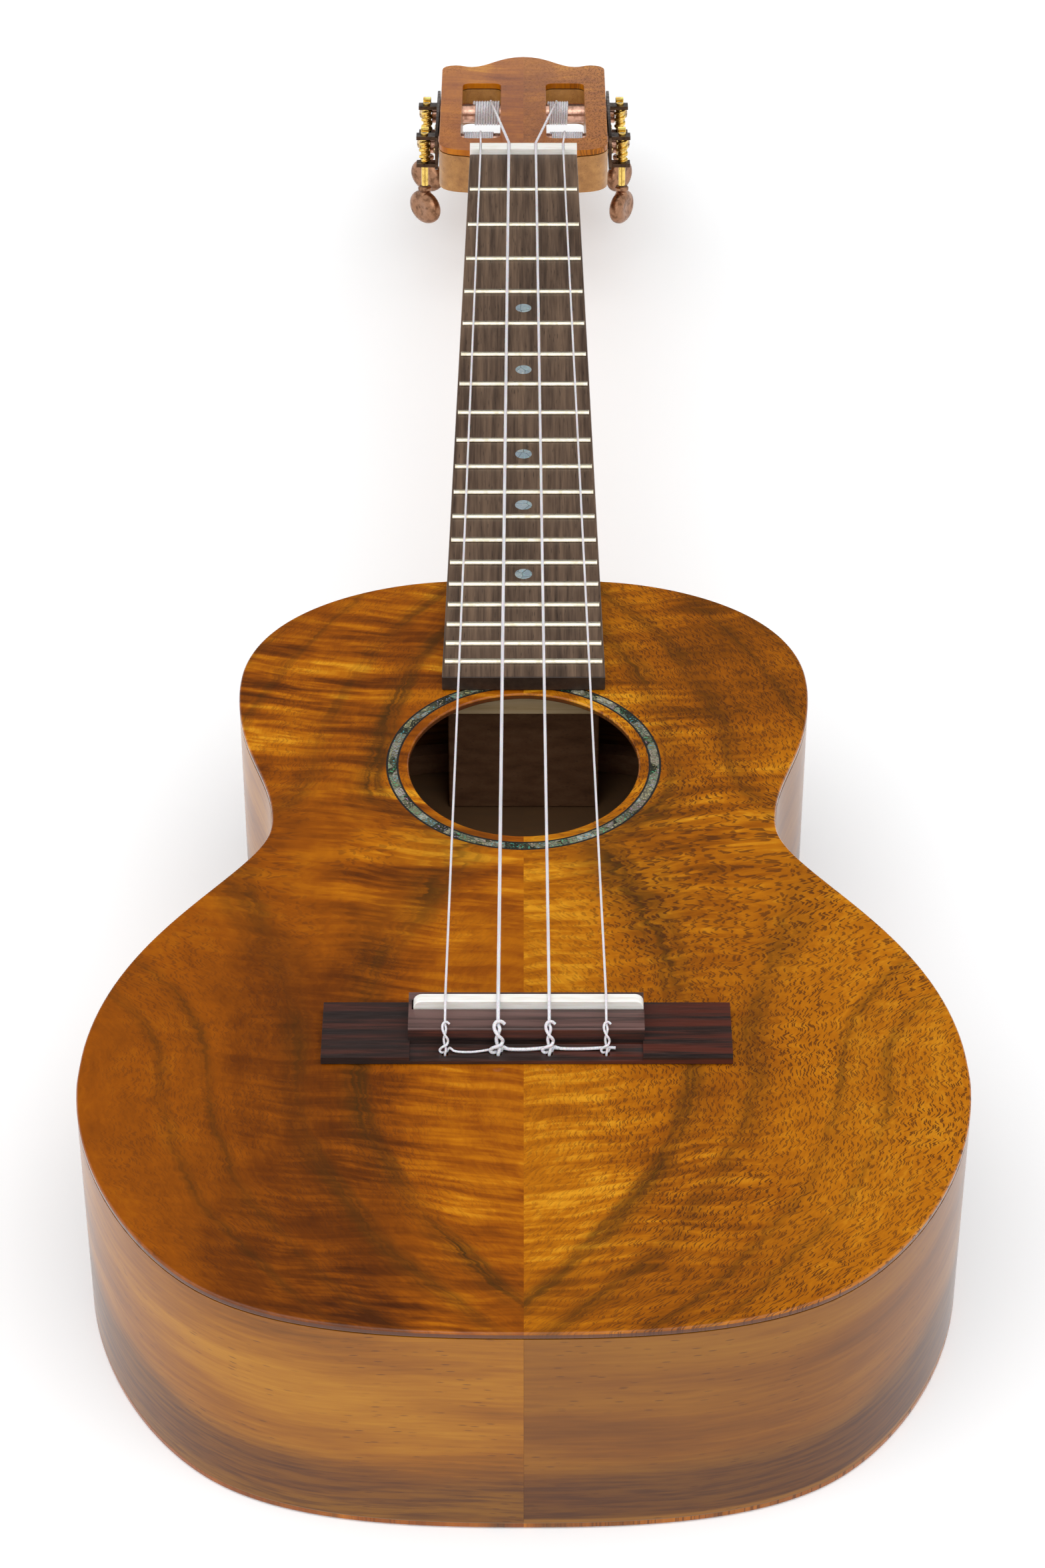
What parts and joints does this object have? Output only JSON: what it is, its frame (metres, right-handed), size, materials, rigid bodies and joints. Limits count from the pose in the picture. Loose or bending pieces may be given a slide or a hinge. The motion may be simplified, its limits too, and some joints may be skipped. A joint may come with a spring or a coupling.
{
  "type": "ukulele",
  "caption": "Tenor-size ukulele with figured koa body, slotted headstock, open-gear tuners, fretted neck and nylon strings.",
  "frame": {"origin": "on the underside of the back, straight below the end of the scale length at the saddle, on the centre line", "axes": "+Y along the strings to the headstock, +X to the first-string side, +Z out of the soundboard"},
  "size_m": [0.2224, 0.6726, 0.0766],
  "materials": {
    "koa_top": "figured bookmatched koa under clear high gloss",
    "koa_sides": "koa side and back wood under clear high gloss",
    "mahogany": "mahogany, satin lacquer",
    "spruce": "bare sanded spruce",
    "abalone": "polished shell inlay",
    "rosewood": "rosewood, oiled open grain",
    "fretboard_wood": "brown fingerboard wood, oiled",
    "bone": "polished bone",
    "fret_metal": "polished nickel silver",
    "nylon": "clear white nylon",
    "copper_metal": "copper-coloured plated metal, polished",
    "gold_metal": "gold-coloured plated metal, polished"
  },
  "bodies": {
    "root": {"back_brace_lower": "spruce", "back_brace_upper": "spruce", "back_lining": "mahogany", "back_plate": "koa_sides", "bridge": "rosewood", "fret_01": "fret_metal", "fret_02": "fret_metal", "fret_03": "fret_metal", "fret_04": "fret_metal", "fret_05": "fret_metal", "fret_06": "fret_metal", "fret_07": "fret_metal", "fret_08": "fret_metal", "fret_09": "fret_metal", "fret_10": "fret_metal", "fret_11": "fret_metal", "fret_12": "fret_metal", "fret_13": "fret_metal", "fret_14": "fret_metal", "fret_15": "fret_metal", "fret_16": "fret_metal", "fret_17": "fret_metal", "fret_18": "fret_metal", "fret_19": "fret_metal", "fretboard": "fretboard_wood", "headplate": "koa_top", "lower_brace": "spruce", "neck": "mahogany", "neck_block": "mahogany", "nut": "bone", "rib_left": "koa_sides", "rib_right": "koa_sides", "rosette": "abalone", "saddle": "bone", "soundboard": "koa_top", "string_1": "nylon", "string_2": "nylon", "string_3": "nylon", "string_4": "nylon", "tail_block": "mahogany", "top_lining": "mahogany", "tuner_plate_left": "copper_metal", "tuner_plate_right": "copper_metal", "upper_brace": "spruce"},
    "key_1": {"tuner_worm_1": "gold_metal", "tuner_button_1": "copper_metal"},
    "roller_1": {"tuner_roller_1": "copper_metal", "tuner_gear_1": "gold_metal"},
    "key_2": {"tuner_worm_2": "gold_metal", "tuner_button_2": "copper_metal"},
    "roller_2": {"tuner_roller_2": "copper_metal", "tuner_gear_2": "gold_metal"},
    "key_3": {"tuner_worm_3": "gold_metal", "tuner_button_3": "copper_metal"},
    "roller_3": {"tuner_roller_3": "copper_metal", "tuner_gear_3": "gold_metal"},
    "key_4": {"tuner_worm_4": "gold_metal", "tuner_button_4": "copper_metal"},
    "roller_4": {"tuner_roller_4": "copper_metal", "tuner_gear_4": "gold_metal"}
  },
  "joints": [
    {"name": "key_turn_1", "type": "hinge", "parent": "root", "child": "key_1", "pos_m": [-0.0344, 0.47521, 0.04902], "axis": [0, 0.2079, 0.9781], "continuous": true},
    {"name": "roller_turn_1", "type": "hinge", "parent": "root", "child": "roller_1", "pos_m": [-0.02, 0.48303, 0.04736], "axis": [1, 0, 0], "continuous": true},
    {"name": "key_turn_2", "type": "hinge", "parent": "root", "child": "key_2", "pos_m": [-0.0344, 0.51042, 0.04154], "axis": [0, 0.2079, 0.9781], "continuous": true},
    {"name": "roller_turn_2", "type": "hinge", "parent": "root", "child": "roller_2", "pos_m": [-0.02, 0.51824, 0.03988], "axis": [1, 0, 0], "continuous": true},
    {"name": "key_turn_3", "type": "hinge", "parent": "root", "child": "key_3", "pos_m": [0.0344, 0.51042, 0.04154], "axis": [0, 0.2079, 0.9781], "continuous": true},
    {"name": "roller_turn_3", "type": "hinge", "parent": "root", "child": "roller_3", "pos_m": [0.02, 0.51824, 0.03988], "axis": [1, 0, 0], "continuous": true},
    {"name": "key_turn_4", "type": "hinge", "parent": "root", "child": "key_4", "pos_m": [0.0344, 0.47521, 0.04902], "axis": [0, 0.2079, 0.9781], "continuous": true},
    {"name": "roller_turn_4", "type": "hinge", "parent": "root", "child": "roller_4", "pos_m": [0.02, 0.48303, 0.04736], "axis": [1, 0, 0], "continuous": true}
  ],
  "couplings": [
    {"joint": "roller_turn_1", "follows": "key_turn_1", "ratio": 0.071429},
    {"joint": "roller_turn_2", "follows": "key_turn_2", "ratio": 0.071429},
    {"joint": "roller_turn_3", "follows": "key_turn_3", "ratio": 0.071429},
    {"joint": "roller_turn_4", "follows": "key_turn_4", "ratio": 0.071429}
  ]
}
